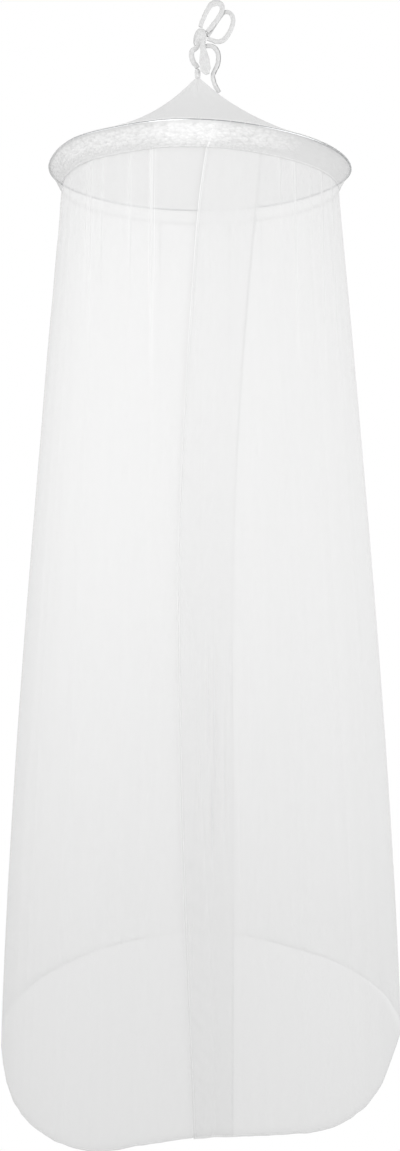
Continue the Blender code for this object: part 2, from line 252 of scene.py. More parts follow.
def net_material(name, colour, folded_and_highlight_colour, thread_alpha, hole_alpha, folded_alpha, uneven=0.0):
    """White net.  thread_alpha and hole_alpha are how solid its threads and its holes are.  Where the
    mesh's fold attribute is 1 the net lies in tight folds, so it is less see-through and whiter, the white
    partly for the layers and partly a painted highlight; below 0 it is thinner than flat net."""
    finish, tree, output = new_material(name)
    uv = node(tree, "ShaderNodeUVMap", uv_map="cloth")
    split = node(tree, "ShaderNodeSeparateXYZ", links=[("Vector", uv.outputs[0])])
    u, v = split.outputs["X"], split.outputs["Y"]
    waves = []
    for degrees in (0, 60, 120):
        angle = math.radians(degrees)
        turns = 2 * math.pi / (MESH_CELL * math.sqrt(3) / 2)
        across = maths(tree, "MULTIPLY", u, math.cos(angle) * turns)
        along = maths(tree, "MULTIPLY", v, math.sin(angle) * turns)
        waves.append(maths(tree, "COSINE", maths(tree, "ADD", across, along)))
    total = maths(tree, "ADD", maths(tree, "ADD", waves[0], waves[1]), waves[2])
    step = node(tree, "ShaderNodeMapRange", interpolation_type="SMOOTHSTEP", From_Min=-0.9, From_Max=1.1,
                To_Min=thread_alpha, To_Max=hole_alpha, links=[("Value", total)])
    alpha = step.outputs[0]
    if uneven:
        place = node(tree, "ShaderNodeTexCoord")
        stretch = node(tree, "ShaderNodeMapping", Scale=(1.0, 1.0, 0.16),
                       links=[("Vector", place.outputs["Object"])])
        drift = node(tree, "ShaderNodeTexNoise", Scale=9.0, Detail=3.0,
                     links=[("Vector", stretch.outputs[0])])
        amount = maths(tree, "MULTIPLY_ADD", drift.outputs["Fac"], 2 * uneven, 1.0 - uneven)
        alpha = maths(tree, "MULTIPLY", alpha, amount, clamp=True)
    fold = node(tree, "ShaderNodeAttribute", attribute_name="fold")
    gap = maths(tree, "SUBTRACT", folded_alpha, alpha)
    alpha = maths(tree, "MULTIPLY_ADD", fold.outputs["Fac"], gap, alpha)
    # The colour whitens with the fold attribute: partly for the layers, partly as a painted highlight.
    white = node(tree, "ShaderNodeMapRange", To_Min=colour, To_Max=folded_and_highlight_colour,
                 links=[("Value", fold.outputs["Fac"])])
    tint_with_painted_light = node(tree, "ShaderNodeCombineColor",
                links=[("Red", white.outputs[0]), ("Green", white.outputs[0]), ("Blue", white.outputs[0])])
    shader = node(tree, "ShaderNodeBsdfPrincipled", Roughness=0.85,
                  links=[("Alpha", alpha), ("Base Color", tint_with_painted_light.outputs[0])])
    shader.inputs["Sheen Weight"].default_value = 0.15
    tree.links.new(shader.outputs[0], output.inputs["Surface"])
    return finish


DROP_NET = net_material("drop_net_finish", 0.86, 0.99, 0.62, 0.44, 0.90, uneven=0.06)
CROWN_NET = net_material("crown_net_finish", 0.92, 0.99, 0.90, 0.55, 0.95)
BAND_NET = net_material("band_net_finish", 0.80, 0.91, 0.56, 0.34, 0.94)
print("net finishes:", DROP_NET.name, CROWN_NET.name, BAND_NET.name)

# %% [markdown]
# ## Building a sheet
#
# Every cloth piece here is a grid: rows run down the cloth and columns run round it.  One helper turns such a
# grid of points into a mesh with a UV map in metres, measured along the cloth itself.  A second reads a short
# table of places and values on a smooth curve, so that an outline needs only the rows that its shape needs.

# %% Sheet helper
def sheet_object(name, points, finish, wrap=False, fold=None):
    """A smooth sheet through points[row][column], its UV map measured along the cloth in metres.
    fold, if given, says for every point how tightly the cloth is folded there: 1 in tight folds, 0 flat,
    and below 0 where it looks thinner.  It also carries the painted highlight and shade that the net's
    finish turns into a whiter or greyer colour."""
    grid = np.asarray(points, dtype=float)
    rows, columns = grid.shape[:2]
    if wrap:
        grid = np.concatenate([grid, grid[:, :1]], axis=1)
    along = np.zeros(grid.shape[:2])
    along[1:] = np.cumsum(np.linalg.norm(np.diff(grid, axis=0), axis=2), axis=0)
    middle = rows // 2
    across = np.zeros(grid.shape[1])
    across[1:] = np.cumsum(np.linalg.norm(np.diff(grid[middle], axis=0), axis=1))
    step = columns if wrap else columns - 1
    faces, uvs = [], []
    for r in range(rows - 1):
        for c in range(step):
            right = (c + 1) % columns
            top, bottom = r * columns, (r + 1) * columns
            faces.append((top + c, bottom + c, bottom + right, top + right))
            uvs += [(across[c], along[r, c]), (across[c], along[r + 1, c]),
                    (across[c + 1], along[r + 1, c + 1]), (across[c + 1], along[r, c + 1])]
    mesh = bpy.data.meshes.new(name)
    mesh.from_pydata([tuple(p) for p in np.asarray(points, dtype=float).reshape(-1, 3)], [], faces)
    layer = mesh.uv_layers.new(name="cloth")
    layer.data.foreach_set("uv", np.asarray(uvs, dtype=np.float32).ravel())
    if fold is not None:
        tightness = mesh.attributes.new("fold", "FLOAT", "POINT")
        tightness.data.foreach_set("value", np.asarray(fold, dtype=np.float32).ravel())
    mesh.materials.append(finish)
    mesh.shade_smooth()
    mesh.update()
    made = bpy.data.objects.new(name, mesh)
    scene.collection.objects.link(made)
    return made


def eased(share):
    """0 to 1 with a soft start and end."""
    share = np.clip(share, 0.0, 1.0)
    return share * share * (3.0 - 2.0 * share)


def table_curve(table, column, keys):
    """One column of a table, on a smooth curve over its first column, at each of keys."""
    x = np.array([row[0] for row in table], dtype=float)
    y = np.array([row[column] for row in table], dtype=float)
    slope = np.gradient(y, x)
    slope[1:-1] = (y[2:] - y[:-2]) / (x[2:] - x[:-2])
    keys = np.clip(np.asarray(keys, dtype=float), x[0], x[-1])
    i = np.clip(np.searchsorted(x, keys, side="right") - 1, 0, len(x) - 2)
    span = x[i + 1] - x[i]
    t = (keys - x[i]) / span
    return (y[i] * (2 * t**3 - 3 * t**2 + 1) + slope[i] * span * (t**3 - 2 * t**2 + t)
            + y[i + 1] * (3 * t**2 - 2 * t**3) + slope[i + 1] * span * (t**3 - t**2))


def turned(azimuth, start):
    """The same direction as an azimuth from start to start + 360."""
    return (np.asarray(azimuth, dtype=float) - start) % 360.0 + start


def on_net(azimuth, radius, z, shift=0.0):
    """Points round the net's axis: azimuth 0 is the front, positive to the right."""
    angle = np.radians(azimuth)
    x = AXIS_X + shift + radius * np.sin(angle)
    y = -radius * np.cos(angle)
    return np.stack(np.broadcast_arrays(x, y, z), axis=-1)


# The springy hoop is not quite flat: it dips at the front right.  columns: azimuth, height above its plane
HOOP_WARP = (
    (-95, -0.0030), (-74, -0.0035), (-52, 0.0020), (-32, -0.0005), (-10, 0.0005), (5, -0.0020),
    (30, -0.0080), (60, -0.0100), (80, -0.0090), (110, -0.0020), (150, 0.0000), (220, 0.0000), (265, -0.0030),
)


def hoop_warp(azimuth):
    return table_curve(HOOP_WARP, 1, turned(azimuth, HOOP_WARP[0][0]))


def waviness(azimuth, drift, seed, counts, heights):
    """Irregular soft waves round the net: a few sines whose phases wander with drift down the cloth."""
    dice = random.Random(seed)
    total = 0.0
    for count, height in zip(counts, heights):
        phase, wander = dice.uniform(0, 360), dice.uniform(-60, 60)
        total = total + height * np.sin(np.radians(count * azimuth + phase + wander * drift))
    return total


print("warp at the front:", round(float(hoop_warp(0.0)), 4))

# %% [markdown]
# ## The long panel
#
# One length of net is wrapped all the way round below the band.  It starts at an inner front edge, runs over
# the back and ends at an outer front edge that laps over the start; people step in through the lap.  The
# panel flares quickly at first and then hangs nearly straight.  It is a grid of points worked out from a
# radius, a height and a direction, because that gives full control over where each fold stands.

# %% Panel: outline
PANEL_TOP = 0.036            # its seam lies this far below the hoop, behind the band
PANEL_LENGTH = 1.8085
TOP_RADIUS = 0.2978
HEM_RADIUS = 0.4265
FLARE_POWER = 1.30           # above 1, the net flares early and then hangs nearly straight
LAP_GAP_TOP = 0.0030         # between the two layers of the lap, at the seam
LAP_GAP_HEM = 0.0036         # and at the hem

# columns: share of the drop, azimuth of the outer edge, azimuth of the inner edge
FRONT_EDGES = (
    (0.00, 2.5, 24.0), (0.06, -0.3, 21.0), (0.15, -2.5, 17.0), (0.27, -4.7, 13.0), (0.44, -6.2, 9.8),
    (0.65, -5.2, 9.0), (1.00, -1.5, 8.0),
)

# How much lower than its usual level the hem hangs.  columns: azimuth, extra length
HEM_DIPS = (
    (-90, 0.000), (-68, 0.040), (-50, 0.067), (-28, 0.056), (-12, 0.015), (0, -0.003), (18, 0.006),
    (36, 0.028), (54, 0.016), (72, -0.024), (92, -0.014), (140, 0.006), (180, -0.004), (225, 0.008),
    (270, 0.000),
)


def panel_radius(share):
    return TOP_RADIUS + (HEM_RADIUS - TOP_RADIUS) * (1.0 - (1.0 - share) ** FLARE_POWER)


def panel_height(azimuth, share):
    """Height of the cloth at a share of the drop; the hem dips and rises, the seam follows the hoop."""
    dip = table_curve(HEM_DIPS, 1, turned(azimuth, HEM_DIPS[0][0]))
    return HOOP_Z - PANEL_TOP - (PANEL_LENGTH + dip) * share + hoop_warp(azimuth) * (1.0 - share) ** 4


print("radius at the seam and hem:", panel_radius(0.0), panel_radius(1.0))

# %% [markdown]
# ## Pleats
#
# The panel is eased into the band with small lapped pleats.  In each one the cloth doubles back on itself,
# so three layers lie over each other and the sheer net turns into a thin white line; that white is partly
# a painted highlight, strongest on the pleats in front.  Below the seam a pleat opens out and fades.  Seen
# from above, a pleat is an S: its direction round the net goes forwards, back and forwards again while its
# radius steps down, and this is what the two formulas below do.

# %% Panel: pleats
# columns: azimuth at the seam, width of cloth taken up in mm, share of the drop where it has opened out,
# how plumb it hangs (0 follows the flare, 1 hangs straight down)
PLEATS = (
    (-72, 6.0, 0.16, 0.6), (-63, 9.0, 0.22, 0.7), (-49, 8.0, 0.18, 0.7), (-46, 10.0, 0.24, 0.8),
    (-40, 6.0, 0.12, 0.8), (-27, 8.0, 0.14, 0.8), (-18, 15.0, 0.28, 1.0), (31, 7.0, 0.10, 0.6),
    (38, 10.0, 0.24, 0.8), (47, 6.0, 0.12, 0.7), (55, 10.0, 0.26, 0.9), (65, 9.0, 0.28, 0.8),
    (82, 8.0, 0.20, 0.7), (97, 10.0, 0.30, 0.7), (116, 7.0, 0.16, 0.7), (131, 9.0, 0.22, 0.7),
    (150, 8.0, 0.26, 0.7), (166, 11.0, 0.34, 0.8), (181, 7.0, 0.18, 0.7), (199, 9.0, 0.22, 0.7),
    (214, 8.0, 0.30, 0.7), (231, 10.0, 0.24, 0.7), (248, 8.0, 0.18, 0.7), (262, 9.0, 0.28, 0.7),
    (275, 6.0, 0.14, 0.7),
)
PLEAT_STEP = 0.0011          # between the layers of a pleat
PLEAT_WHITE_AND_HIGHLIGHT = 0.036          # how white and solid a pleat is for each mm taken up; partly a painted highlight
PLEAT_SPREAD = 3.0           # the step in radius fades out over this many pleat widths
PLEAT_HIGHLIGHT_AT_BACK = 0.3          # how white a pleat away from the front is, against one in front: a painted highlight, strongest in front
PLEAT_SOFT = 0.8             # how far the white runs out, as a share of a pleat's half width


def plumb_azimuth(azimuth, share, plumb):
    """Direction of a pleat lower down: on a flaring net a line that hangs plumb creeps towards the front."""
    folded = turned(azimuth, -180.0)
    closer = (TOP_RADIUS / panel_radius(share)) ** plumb
    sine = np.sin(np.radians(folded)) * closer
    near = np.degrees(np.arcsin(sine))
    return near if abs(folded) <= 90 else np.sign(folded) * 180.0 - near


# Each pleat as (azimuth on the way round, its row), from the inner edge to the outer one
ROUND_START = FRONT_EDGES[0][2]
placed_pleats = [(turned(row[0], ROUND_START - 360.0), row) for row in PLEATS]
ordered_pleats = sorted(placed_pleats, key=lambda item: -item[0])
print(len(ordered_pleats), "pleats take up", sum(row[1] for row in PLEATS), "mm")

# %% Panel: columns and rows
PANEL_COLUMNS = 350          # evenly spaced ones, before the extra ones in the pleats
PLEAT_COLUMNS = 9
LAP_COLUMNS = 62             # extra ones in each layer of the lap, for its creases
PANEL_ROWS = 128
PANEL_ROW_POWER = 1.2
PLEAT_HALF = 1.25            # half the width in degrees that a pleat's extra columns cover
EDGE_COLUMNS = (0.1, 0.25, 0.45, 0.7)  # extra ones beside the front edges, in degrees from them
LAP_FROM = 0.9               # the lap's extra columns start this many degrees from an edge
LAP_TO = 21.0                # and end here

span = ROUND_START - (FRONT_EDGES[0][1] - 360.0)
even = np.linspace(0.0, span, PANEL_COLUMNS)
across_pleat = PLEAT_HALF * np.linspace(-1, 1, PLEAT_COLUMNS)
extra = [ROUND_START - centre + across_pleat for centre, row in ordered_pleats]
near_edge = np.array(EDGE_COLUMNS)
lap = np.linspace(LAP_FROM, LAP_TO, LAP_COLUMNS)
column_way = np.sort(np.concatenate([even, near_edge, lap, span - lap, span - near_edge] + extra))
row_share = (np.arange(PANEL_ROWS + 1) / PANEL_ROWS) ** PANEL_ROW_POWER
print(len(column_way), "columns,", len(row_share), "rows")


def column_azimuths(share):
    """Direction of every column at a share of the drop: edges and pleats keep to their own lines."""
    outer = float(table_curve(FRONT_EDGES, 1, share)) - 360.0
    inner = float(table_curve(FRONT_EDGES, 2, share))
    way = [0.0]
    line = [inner]
    for centre, (azimuth, take_up, reach, plumb) in ordered_pleats:
        lower = plumb_azimuth(azimuth, share, plumb)
        way.append(ROUND_START - centre)
        line.append(centre + float(turned(lower - azimuth, -180.0)))
    way.append(span)
    line.append(outer)
    return np.interp(column_way, way, line), line[1:-1]


def pleated(azimuths, centres, share):
    """Moves azimuths back on themselves in each pleat.  Also gives the step in radius that goes with it,
    and how tightly the cloth is folded, with a painted highlight that is strongest in front.  Pleats are
    laid away from the front: on the left side their edges face left."""
    moved = azimuths.copy()
    step = np.zeros_like(azimuths)
    folded = np.zeros_like(azimuths)
    circle = math.radians(1.0) * panel_radius(share)
    for middle, (centre, (azimuth, take_up, reach, plumb)) in zip(centres, ordered_pleats):
        closed = 1.0 - float(eased(share / reach))
        if closed <= 0.0:
            continue
        away = (azimuths - middle) / PLEAT_HALF
        inside = np.abs(away) < 1.0
        pull = 0.5 * take_up * 0.001 / circle * closed
        moved -= np.where(inside, pull * np.sin(np.pi * away), 0.0)
        fade = 1.0 - eased((np.abs(away) - 1.0) / PLEAT_SPREAD)
        profile = np.where(inside, np.sin(0.5 * np.pi * away), np.sign(away) * fade)
        facing = 1.0 if turned(azimuth, -180.0) < 0 else -1.0
        step += facing * PLEAT_STEP * closed * profile
        # Painted highlight: pleats facing the lamps in front are whiter than those round the back.
        forward = max(0.0, math.cos(math.radians(azimuth)))
        white = PLEAT_WHITE_AND_HIGHLIGHT * (PLEAT_HIGHLIGHT_AT_BACK + (1.0 - PLEAT_HIGHLIGHT_AT_BACK) * forward) * take_up * closed ** 0.7
        folded = np.maximum(folded, white * np.exp(-(away / PLEAT_SOFT) ** 2))
    return moved, step, np.clip(folded, 0.0, 1.0)


column_width = math.radians(span / PANEL_COLUMNS) * TOP_RADIUS
print("a column is about", round(1000 * column_width, 1), "mm wide at the seam")

# %% [markdown]
# ## Hems
#
# The lower edge is turned up once, inside.  The front edges are rolled narrow, turned twice, so that no raw
# edge shows where hands part the net.  A hem is part of its cloth, so the grid simply goes on past the edge:
# the extra rows and columns turn back over the panel, a fraction of a millimetre inside it.

# %% Panel: hems, waves and the mesh
# columns, in mm: how far past the edge, how far inside the panel
LOWER_HEM = ((0.30, 0.15), (0.30, 0.60), (-1.2, 0.85), (-3.6, 0.90))
FRONT_HEM = (
    (0.35, 0.10), (0.35, 0.75), (-2.4, 1.00), (-4.9, 1.25), (-4.9, 1.65), (-2.4, 1.85), (-0.6, 1.80),
)
MM = 0.001
HEM_TAUT_AND_HIGHLIGHT_TO = 0.40           # share of the drop down to which the front hems are drawn taut by the weight and painted white as a highlight
HEM_NARROWS = 0.6            # and the roll is this much narrower below
SHEER_EDGE = 0.45            # how much thinner the net looks at its front edges, low down
SHEER_WIDTH = 18.0           # fading over this many degrees
SHEER_ROLL = 1.6             # the rolls themselves are thinner by this times as much
SHEER_SIDE = 0.3             # and at the sides
SIDE_AZIMUTH = 85.0          # which are here
SIDE_WIDTH = 14.0            # and about this wide
SHEER_HEM = 0.9              # and in the turned-up hem
INNER_HEM_HIGHLIGHT = 0.45       # painted highlight on the inner front hem, which shows through the outer layer, and less of it
WAVE_COUNTS = (5, 8, 13)
WAVE_HEIGHTS = (0.0016, 0.0012, 0.0010)
FINE_COUNTS = (37, 53, 71, 97)
FINE_HEIGHTS = (0.00045, 0.00040, 0.00030, 0.00022)
# Creases in the lap, where the edge that is parted most hangs a little slack.
# columns: azimuth, share of the drop in the middle, half length as a share, half width in degrees, mm deep
CREASES = (
    (-1.5, 0.20, 0.10, 0.5, 0.6), (1.2, 0.34, 0.09, 0.5, 0.5), (4.0, 0.62, 0.13, 0.50, 2.8),
    (2.2, 0.58, 0.10, 0.45, 2.2), (6.4, 0.66, 0.12, 0.50, 1.6), (-0.6, 0.65, 0.09, 0.50, 1.4),
    (-2.0, 0.82, 0.06, 0.45, 1.4), (3.2, 0.69, 0.07, 0.40, 3.6), (8.0, 0.56, 0.08, 0.60, 1.2),
    (10.5, 0.70, 0.10, 0.60, 0.7), (-5.0, 0.52, 0.08, 0.45, 0.6), (-9.0, 0.74, 0.11, 0.80, 0.6),
    (14.0, 0.60, 0.10, 0.80, 0.6),
)


def crease_relief(azimuths, share):
    relief = np.zeros_like(azimuths)
    for azimuth, middle, half_length, half_width, depth in CREASES:
        along = eased(1.0 - abs(share - middle) / half_length)
        if along > 0.0:
            relief -= depth * MM * along * np.exp(-((turned(azimuths - azimuth, -180.0)) / half_width) ** 2)
    return relief


def panel_row(share, beyond=0.0, inside=0.0):
    """One row of the panel with its front hems.  beyond and inside place the rows of the lower hem."""
    azimuths, centres = column_azimuths(share)
    moved, step, folded = pleated(azimuths, centres, share)
    part = column_way / span
    gap = LAP_GAP_TOP + (LAP_GAP_HEM - LAP_GAP_TOP) * float(eased(share / 0.1))
    radius = panel_radius(share) + gap * (part - 0.5) + step + crease_relief(moved, share)
    loose = float(eased(share))
    radius += loose * waviness(moved, share, 3, WAVE_COUNTS, WAVE_HEIGHTS)
    radius += (0.35 + 0.65 * loose) * waviness(moved, share, 8, FINE_COUNTS, FINE_HEIGHTS)
    narrower = 1.0 - HEM_NARROWS * float(eased(share / HEM_TAUT_AND_HIGHLIGHT_TO))
    degree = math.radians(1.0) * panel_radius(share) / narrower
    start = [(moved[0] + past * MM / degree, radius[0] - deep * MM) for past, deep in FRONT_HEM][::-1]
    end = [(moved[-1] - past * MM / degree, radius[-1] - deep * MM) for past, deep in FRONT_HEM]
    azimuth = np.concatenate([[a for a, r in start], moved, [a for a, r in end]])
    radius = np.concatenate([[r for a, r in start], radius, [r for a, r in end]])
    # A painted highlight whitens the front hems' rolls at the top of the drop and fades out lower down.
    hem_highlight = 1.0 - float(eased(share / HEM_TAUT_AND_HIGHLIGHT_TO))
    to_edge = np.minimum(column_way, span - column_way)
    sheer = SHEER_EDGE * float(eased((share - 0.25) / 0.30))
    aside = np.abs(turned(moved, -180.0)) - SIDE_AZIMUTH
    folded = folded - sheer * (1.0 - eased(to_edge / SHEER_WIDTH))
    folded = folded - SHEER_SIDE * float(eased(share / 0.5)) * np.exp(-(aside / SIDE_WIDTH) ** 2)
    inner_roll = INNER_HEM_HIGHLIGHT * hem_highlight - SHEER_ROLL * sheer
    outer_roll = hem_highlight - SHEER_ROLL * sheer
    tight = np.concatenate([[inner_roll] * len(start), folded, [outer_roll] * len(end)])
    tight[len(start)] = max(tight[len(start)], INNER_HEM_HIGHLIGHT * hem_highlight - sheer)
    tight[-len(end) - 1] = hem_highlight - sheer
    if inside > 0.0:
        tight = tight - SHEER_HEM
    return on_net(azimuth, radius - inside, panel_height(azimuth, share) - beyond), tight


panel_made = [panel_row(share) for share in row_share]
panel_made += [panel_row(1.0, past * MM, deep * MM) for past, deep in LOWER_HEM]
panel_rows = [points for points, tight in panel_made]
panel_folds = [tight[::-1] for points, tight in panel_made]
net_panel = sheet_object("net_panel", [row[::-1] for row in panel_rows], DROP_NET, fold=panel_folds)
print("net panel:", len(net_panel.data.polygons), "quads")

# %% [markdown]
# ## The crown
#
# The crown is one piece of the same net, used double, stretched from the hoop up to a tip that is gathered
# tight and bound.  Between hoop and tip it sags inwards a little, and from the tip fine gathers fan out and
# die away.  Its lower edge comes down on to the rod.

# %% Crown
CROWN_HEIGHT = 0.202
CROWN_TIP_RADIUS = 0.0056
CROWN_LEAN = -0.0053
CROWN_FOOT = 0.0050
CLOTH_CLEARANCE = 0.0020
CROWN_COLUMNS = 540
CROWN_ROWS = 100
GATHER_COUNTS = (11, 17, 23, 31)
GATHER_HEIGHTS = (0.0007, 0.0007, 0.0006, 0.0005)
CROWN_WAVE_HEIGHT = 0.0012
CROWN_WAVE_COUNTS = (3, 5, 9)
CROWN_WAVE_PARTS = (0.9, 0.7, 0.5)
CROWN_ROW_POWER = 1.6
# The crown's lower edge, down to the top of the rod.
# columns, in mm: inside the hoop's middle line, above its plane
ONTO_ROD = ((1.3, 3.9), (0.7, 3.2), (0.5, 2.8))


def crown_radius(share):
    left = 1.0 - share
    return (HOOP_RADIUS - CLOTH_CLEARANCE) * (0.4 * left ** 2.4 + 0.6 * left) + CROWN_TIP_RADIUS * share


def crown_row(share, azimuth):
    radius = crown_radius(share)
    z = HOOP_Z + CROWN_FOOT + (CROWN_HEIGHT - CROWN_FOOT) * share + hoop_warp(azimuth) * (1.0 - share) ** 2
    near_tip = float(eased(1.0 - (1.0 - share) / 0.42)) * min(1.0, radius / 0.03) * min(1.0, radius / 0.012)
    z = z + near_tip * waviness(azimuth, (1 - share) * 4, 5, GATHER_COUNTS, GATHER_HEIGHTS)
    slack = CROWN_WAVE_HEIGHT * math.sin(math.pi * share)
    z = z + slack * waviness(azimuth, 0.0, 6, CROWN_WAVE_COUNTS, CROWN_WAVE_PARTS)
    return on_net(azimuth, radius, z, CROWN_LEAN * share * share)


crown_azimuth = np.arange(CROWN_COLUMNS) * 360.0 / CROWN_COLUMNS
crown_shares = 1.0 - (1.0 - np.linspace(1, 0, CROWN_ROWS)) ** CROWN_ROW_POWER
crown_rows = [crown_row(share, crown_azimuth) for share in crown_shares]
for inside, above in ONTO_ROD:
    height = HOOP_Z + above * MM + hoop_warp(crown_azimuth)
    crown_rows.append(on_net(crown_azimuth, HOOP_RADIUS - inside * MM, height))
crown = sheet_object("net_crown", crown_rows, CROWN_NET, wrap=True)
print("crown:", len(crown.data.polygons), "quads")

# %% [markdown]
# ## The ruched band
#
# Under the hoop a strip of net is drawn up so tightly that it puckers into small overlapping scales.  That
# makes it the least see-through part, and the brightest, partly by a painted highlight, above all in the
# middle of the front.  The puckers are lively in front and on the left and calm down to the right.  Their
# shape comes from cells: inside a cell the cloth bulges, and between cells it is pulled down into a sharp
# crease.  The cells are stretched along a slant, because the threads pull that way.  A ridge in the band
# carries on the line of the front hem.  The colour follows the puckers: painted whiter on their tops and
# along the ridge as a highlight, and greyer in their creases as painted shade.

# %% Band
from mathutils import noise

BAND_DEPTH = 0.0375
BAND_LOWER_RADIUS = 0.3012
BAND_COLUMNS = 1200
BAND_ROWS = 30
PUCKER_HEIGHT = 0.0036
PUCKER_LENGTH = 0.011
PUCKER_WIDTH = 0.0040
PUCKER_SLANT = 0.55
BAND_CALM_FROM = 30.0
# How tightly the band is drawn up, round it; below 0 it is thin and see-through.  columns: azimuth, fold
BAND_DRAWN = (
    (-180, -0.6), (-110, -0.6), (-85, 0.0), (-60, 0.25), (-20, 0.35), (-9, 0.75), (4, 0.75), (12, 0.40),
    (28, 0.25), (45, -0.15), (62, -0.55), (180, -0.6),
)
BAND_RIDGE_TOP = 5.0         # direction of the ridge that carries on the outer front hem, at the hoop
BAND_RIDGE_LEAN = 2.2        # and how far it leans back on its way down, in degrees
BAND_RIDGE_HEIGHT = 0.0012
BAND_RIDGE_WIDTH = 0.42      # degrees
# The band's top edge, caught over the outer side of the rod.
# columns, in mm: inside the hoop's middle line, above its plane
OVER_ROD = ((-2.7, -0.6), (-2.4, -1.8), (-1.2, -2.8))
BAND_EDGE_TURN = (0.0002, 0.0004)  # the lower edge ends this far inside and below the last row
BAND_THINNEST = -0.8


def pucker(azimuth, share):
    """Height of the puckers, 0 to 1, at one place on the band."""
    way = math.radians(azimuth) * HOOP_RADIUS
    down = share * BAND_DEPTH
    total = 0.0
    for size, part in ((1.0, 0.65), (0.5, 0.35)):
        along = (way + PUCKER_SLANT * down) / (PUCKER_LENGTH * size)
        place = Vector((along, down / (PUCKER_WIDTH * size), 3.0 * size))
        distances, points = noise.voronoi(place)
        total += part * (1.0 - min(distances[0], 1.0) ** 1.5)
    return total


def band_calm(azimuth):
    around = float(turned(azimuth, -180.0))
    return float(eased((around - BAND_CALM_FROM + 12.0) / 24.0) * (1.0 - eased((around - 150.0) / 24.0)))


band_azimuth = np.arange(BAND_COLUMNS) * 360.0 / BAND_COLUMNS
band_warp = hoop_warp(band_azimuth)
liveliness = np.array([1.0 - 0.8 * band_calm(a) for a in band_azimuth])
drawn = np.array(BAND_DRAWN)
band_drawn = np.interp(turned(band_azimuth, -180.0), drawn[:, 0], drawn[:, 1])
band_rows, band_folds = [], []
for inside, above in OVER_ROD:
    band_rows.append(on_net(band_azimuth, HOOP_RADIUS - inside * MM, HOOP_Z + above * MM + band_warp))
    band_folds.append(band_drawn)
band_top = ROD_RADIUS + CLOTH_CLEARANCE + 0.00075
for share in np.linspace(0.0, 1.0, BAND_ROWS):
    swell = np.array([pucker(a, share) for a in band_azimuth]) - 0.5
    held = min(1.0, 6.0 * share + 0.15, 6.0 * (1.0 - share) + 0.15)
    inward = (BAND_LOWER_RADIUS - HOOP_RADIUS + CLOTH_CLEARANCE) * share ** 0.8
    radius = HOOP_RADIUS - CLOTH_CLEARANCE + inward
    z = HOOP_Z - band_top - BAND_DEPTH * share + band_warp
    off_ridge = turned(band_azimuth - BAND_RIDGE_TOP + BAND_RIDGE_LEAN * share, -180.0)
    ridge = np.exp(-(off_ridge / BAND_RIDGE_WIDTH) ** 2)
    relief = held * PUCKER_HEIGHT * swell * liveliness + BAND_RIDGE_HEIGHT * ridge
    band_rows.append(on_net(band_azimuth, radius + relief, z))
    loosened = 0.55 * float(eased((share - 0.40) / 0.60))
    # The pucker tops and the ridge are also painted whiter, as a highlight, and the creases greyer, as painted
    # shade.
    fold = band_drawn + 0.9 * swell * liveliness - loosened
    band_folds.append(np.clip(np.maximum(fold, ridge), BAND_THINNEST, 1.0))
edge_in, edge_down = BAND_EDGE_TURN
edge_z = HOOP_Z - band_top - BAND_DEPTH - edge_down + band_warp
band_rows.append(on_net(band_azimuth, BAND_LOWER_RADIUS - edge_in, edge_z))
band_folds.append(np.full(BAND_COLUMNS, BAND_THINNEST))
band = sheet_object("net_band", band_rows, BAND_NET, wrap=True, fold=band_folds)
print("band:", len(band.data.polygons), "quads")

# %% [markdown]
# ## Geometry Nodes for wire and thread
#
# Two small trees do everything that follows a path.  One sweeps a round section along it, for the hoop.  The
# other sets a stitch at every so many millimetres, turned along the path.  Each path is a plain list of
# points; the tree's named inputs hold the sizes.  At the end the result is turned into a plain mesh.

# %% Node-tree helpers
def geometry_tree(name, inputs):
    """A new tree with a geometry input and output.  inputs are (name, socket type, default)."""
    tree = bpy.data.node_groups.new(name, "GeometryNodeTree")
    tree.interface.new_socket(name="Path", in_out="INPUT", socket_type="NodeSocketGeometry")
    for label, kind, default in inputs:
        socket = tree.interface.new_socket(name=label, in_out="INPUT", socket_type=kind)
        if default is not None:
            socket.default_value = default
    tree.interface.new_socket(name="Geometry", in_out="OUTPUT", socket_type="NodeSocketGeometry")
    return tree, tree.nodes.new("NodeGroupInput"), tree.nodes.new("NodeGroupOutput")


def finish_tree(tree, given, result, geometry):
    """Ends a tree: instances made real, shaded smooth, the finish set."""
    real = tree.nodes.new("GeometryNodeRealizeInstances")
    smooth = tree.nodes.new("GeometryNodeSetShadeSmooth")
    paint = tree.nodes.new("GeometryNodeSetMaterial")
    tree.links.new(geometry, real.inputs[0])
    tree.links.new(real.outputs[0], smooth.inputs["Geometry"])
    tree.links.new(smooth.outputs[0], paint.inputs["Geometry"])
    tree.links.new(given.outputs["Finish"], paint.inputs["Material"])
    tree.links.new(paint.outputs[0], result.inputs["Geometry"])


def grown(name, paths, tree, **values):
    """Runs a tree on paths, each (points, closed), and returns the result as a plain mesh object."""
    curve = bpy.data.curves.new(name + "_path", "CURVE")
    curve.dimensions = "3D"
    for points, closed in paths:
        spline = curve.splines.new("POLY")
        spline.points.add(len(points) - 1)
        placed = np.column_stack([points, np.ones(len(points))])
        spline.points.foreach_set("co", placed.astype(np.float32).ravel())
        spline.use_cyclic_u = closed
    guide = bpy.data.objects.new(name + "_path", curve)
    scene.collection.objects.link(guide)
    modifier = guide.modifiers.new("grow", "NODES")
    modifier.node_group = tree
    for item in tree.interface.items_tree:
        if item.in_out == "INPUT" and item.name in values:
            modifier[item.identifier] = values[item.name]
    evaluated = guide.evaluated_get(bpy.context.evaluated_depsgraph_get())
    mesh = bpy.data.meshes.new_from_object(evaluated)
    mesh.name = name
    made = bpy.data.objects.new(name, mesh)
    scene.collection.objects.link(made)
    bpy.data.objects.remove(guide, do_unlink=True)
    return made


print("tree helpers ready")

